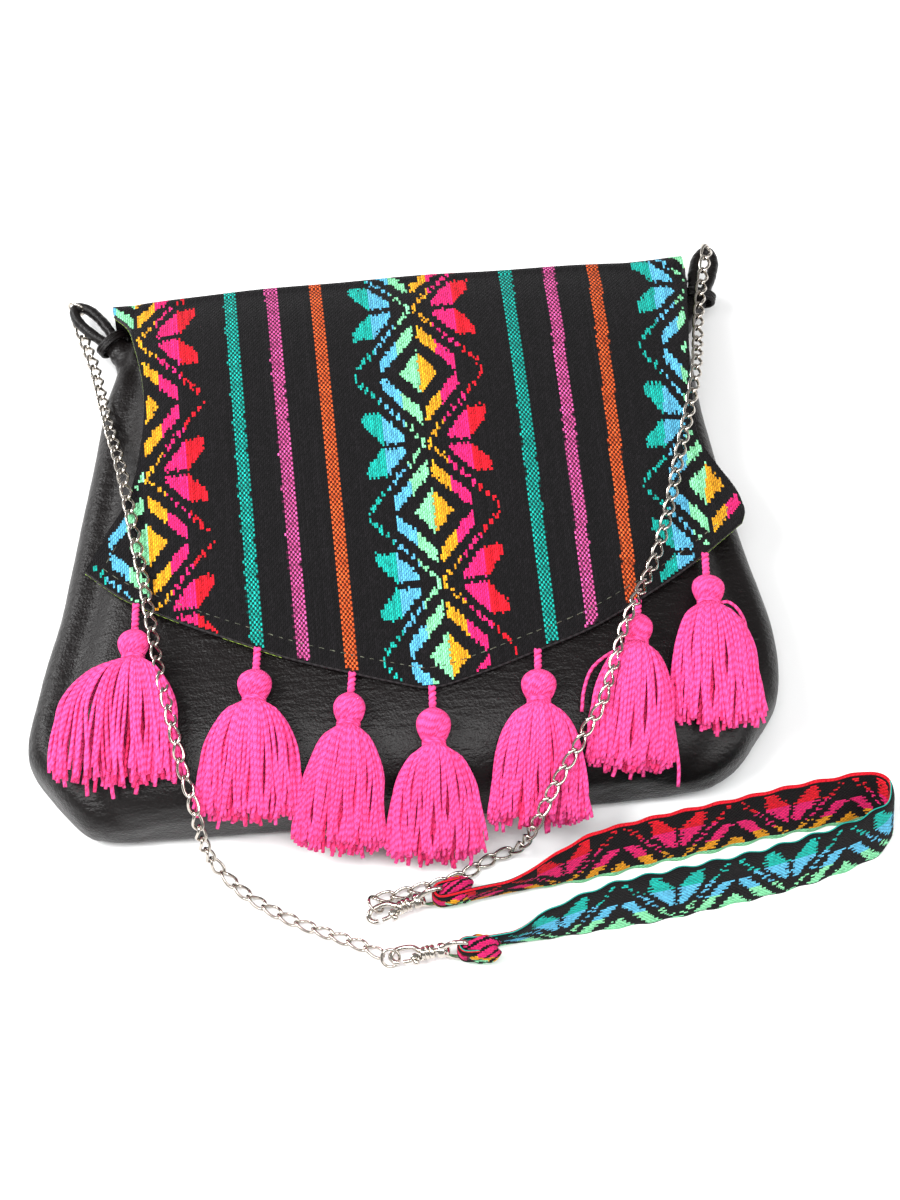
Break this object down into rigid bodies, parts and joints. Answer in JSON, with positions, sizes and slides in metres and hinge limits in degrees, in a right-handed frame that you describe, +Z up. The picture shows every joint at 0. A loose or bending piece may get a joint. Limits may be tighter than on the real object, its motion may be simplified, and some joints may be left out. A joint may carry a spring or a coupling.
{
  "type": "flap-front shoulder bag",
  "caption": "Soft leather shoulder bag with a woven patterned flap, yarn tassels along its hem, curb chains and a woven strap.",
  "frame": {"origin": "middle of the flat back panel that the bag lies on, at the height of the surface", "axes": "+Z up from the surface, out of the bag's front; +Y towards the mouth; +X to the right as the front is seen"},
  "size_m": [0.3642, 0.3475, 0.0673],
  "materials": {
    "leather": "soft black leather with a fine grain and a low sheen",
    "woven_cloth": "black woven cotton with brocade stars and bands in bright colours",
    "yarn": "hot pink plied yarn",
    "nickel": "polished nickel plate"
  },
  "bodies": {
    "bag": {"leather_body": "leather", "woven_flap": "woven_cloth", "neck_wrap_left": "leather", "neck_wrap_right": "leather", "leather_loop_left": "leather", "leather_loop_right": "leather", "clasp_1_swivel": "nickel", "clasp_1_hook": "nickel", "clasp_2_swivel": "nickel", "clasp_2_hook": "nickel", "woven_strap": "woven_cloth", "chain_left": "nickel", "chain_right": "nickel", "tassel_1": "yarn", "tassel_2": "yarn", "tassel_3": "yarn", "tassel_4": "yarn", "tassel_5": "yarn", "tassel_6": "yarn", "tassel_7": "yarn"},
    "lever_1": {"clasp_1_lever": "nickel"},
    "lever_2": {"clasp_2_lever": "nickel"}
  },
  "joints": [
    {"name": "clasp_1_lever_hinge", "type": "hinge", "parent": "bag", "child": "lever_1", "pos_m": [-0.02134, -0.16715, 0.0059], "axis": [-0.2215, -0.0391, 0.9744], "range_deg": [-22, 0], "stiffness_Nm_per_rad": 0.002},
    {"name": "clasp_2_lever_hinge", "type": "hinge", "parent": "bag", "child": "lever_2", "pos_m": [-0.01392, -0.18833, 0.0059], "axis": [-0.2246, 0.0118, 0.9744], "range_deg": [-22, 0], "stiffness_Nm_per_rad": 0.002}
  ]
}
